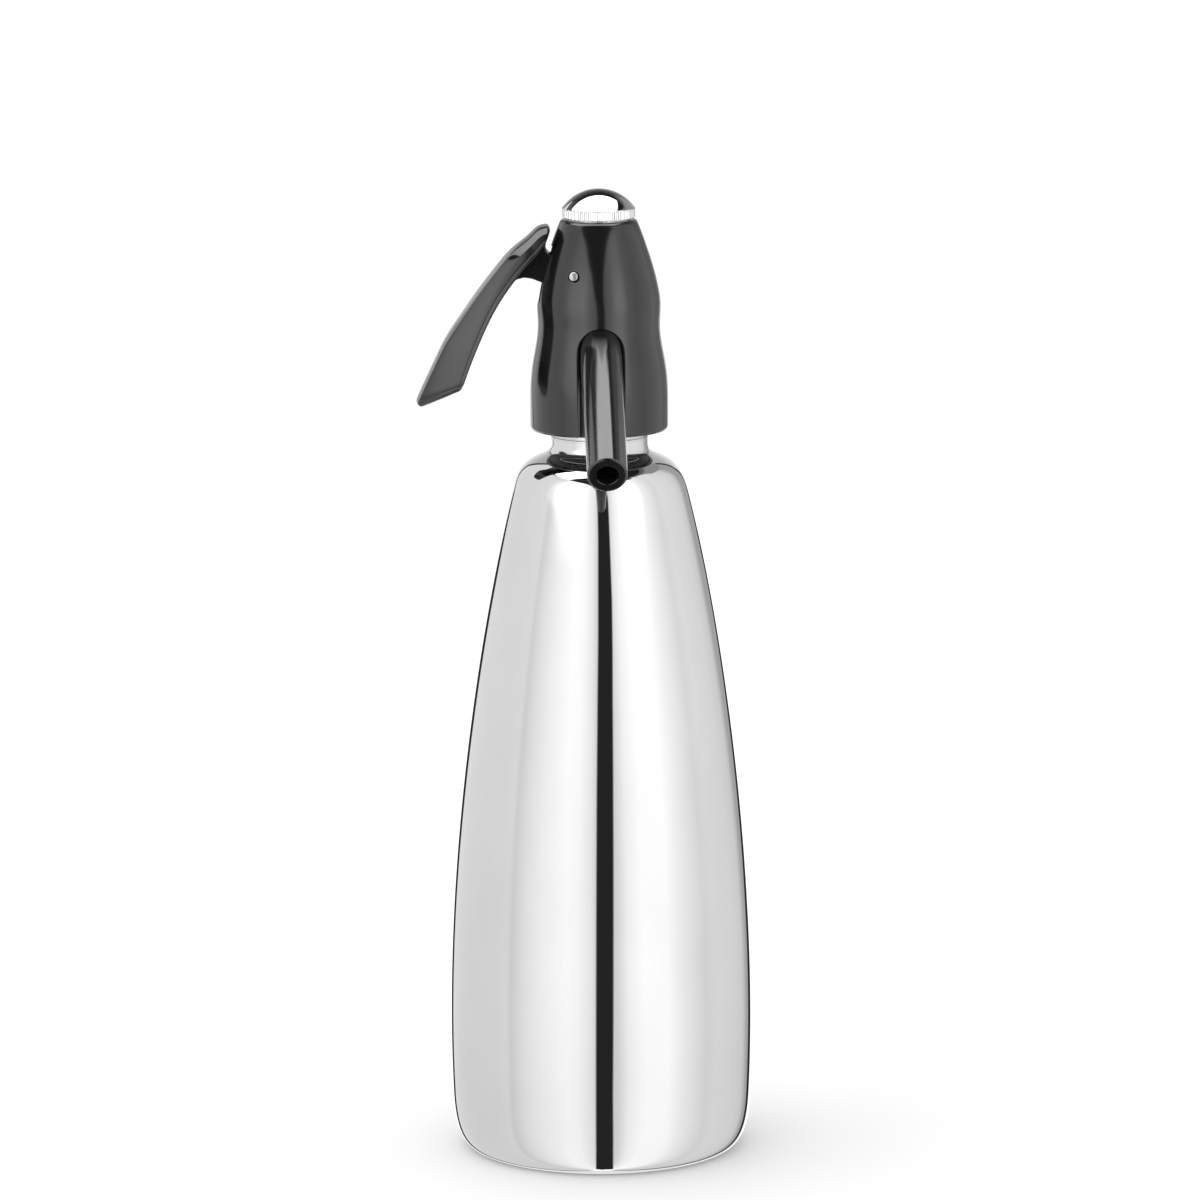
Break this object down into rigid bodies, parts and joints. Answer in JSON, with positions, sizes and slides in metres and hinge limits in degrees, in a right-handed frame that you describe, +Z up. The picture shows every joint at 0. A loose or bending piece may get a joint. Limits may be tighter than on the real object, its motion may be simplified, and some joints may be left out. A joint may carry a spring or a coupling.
{
  "type": "soda siphon",
  "caption": "Tall polished steel soda siphon bottle with a glossy black screw-on head, squeeze lever, sloping spout and a knurled chrome dome cap.",
  "frame": {"origin": "centre of the flat base of the bottle, on the surface it stands on", "axes": "+Z up along the bottle's axis, spout towards -Y, lever towards -X, lever pivot pin along Y"},
  "size_m": [0.1102, 0.1323, 0.3201],
  "materials": {
    "polished_steel": "mirror-polished stainless steel",
    "machined_steel": "turned stainless steel with fine lathe lines",
    "plain_steel": "ground stainless steel",
    "spring_steel": "drawn stainless spring wire",
    "cap_chrome": "bright chrome plating",
    "plated_brass": "nickel-plated brass",
    "brass": "turned brass",
    "black_gloss": "moulded black plastic, high gloss",
    "black_matte": "moulded black plastic, satin",
    "white_plastic": "moulded food-grade plastic",
    "black_rubber": "moulded rubber"
  },
  "bodies": {
    "bottle": {"bottle_shell": "polished_steel", "neck_ring": "machined_steel"},
    "riser": {"riser_tube": "white_plastic", "riser_flange": "white_plastic", "neck_gasket": "black_rubber"},
    "seal_ring": {"head_seal": "black_rubber"},
    "head": {"head_housing": "black_gloss", "valve_body": "black_matte", "valve_seat": "brass", "gland_nut": "brass", "stem_o_ring": "black_rubber", "valve_spring": "spring_steel", "spout_tube": "black_gloss", "spout_o_ring": "black_rubber", "pivot_pin": "plain_steel", "gas_inlet": "plated_brass", "piercing_pin": "plain_steel", "inlet_gasket": "black_rubber", "check_spring": "spring_steel", "housing_nut": "plated_brass"},
    "lever": {"lever": "black_gloss"},
    "stem": {"valve_stem": "plain_steel", "valve_seal": "black_rubber", "stem_nut": "plain_steel"},
    "ball": {"check_ball": "plain_steel"},
    "cap_seat": {"cap_gasket": "black_rubber"},
    "cap": {"top_cap": "cap_chrome"}
  },
  "joints": [
    {"name": "lift_out", "type": "slide", "parent": "bottle", "child": "riser", "axis": [0, 0, 1], "range_m": [0, 0.25]},
    {"name": "head_rise", "type": "slide", "parent": "riser", "child": "seal_ring", "axis": [0, 0, 1], "range_m": [0, 0.0091]},
    {"name": "head_turn", "type": "hinge", "parent": "seal_ring", "child": "head", "pos_m": [0, 0, 0.25], "axis": [0, 0, 1], "range_deg": [0, 1080]},
    {"name": "lever_press", "type": "hinge", "parent": "head", "child": "lever", "pos_m": [-0.0086, 0, 0.2932], "axis": [0, -1, 0], "range_deg": [0, 15], "stiffness_Nm_per_rad": 0.5, "springref_deg": -11.46},
    {"name": "stem_lift", "type": "slide", "parent": "head", "child": "stem", "axis": [0, 0, 1], "range_m": [0, 0.0024], "deforming": ["valve_spring"]},
    {"name": "ball_drop", "type": "slide", "parent": "head", "child": "ball", "axis": [0, 0, -1], "range_m": [0, 0.001], "stiffness_N_per_m": 40, "springref_m": -0.0005, "deforming": ["check_spring"]},
    {"name": "cap_rise", "type": "slide", "parent": "head", "child": "cap_seat", "axis": [0, 0, 1], "range_m": [0, 0.0046]},
    {"name": "cap_turn", "type": "hinge", "parent": "cap_seat", "child": "cap", "pos_m": [0, 0, 0.312], "axis": [0, 0, 1], "range_deg": [0, 1350]}
  ],
  "couplings": [
    {"joint": "head_rise", "follows": "head_turn", "m_per_rad": 0.00047746},
    {"joint": "stem_lift", "follows": "lever_press", "m_per_rad": 0.0086},
    {"joint": "cap_rise", "follows": "cap_turn", "m_per_rad": 0.00019099}
  ]
}
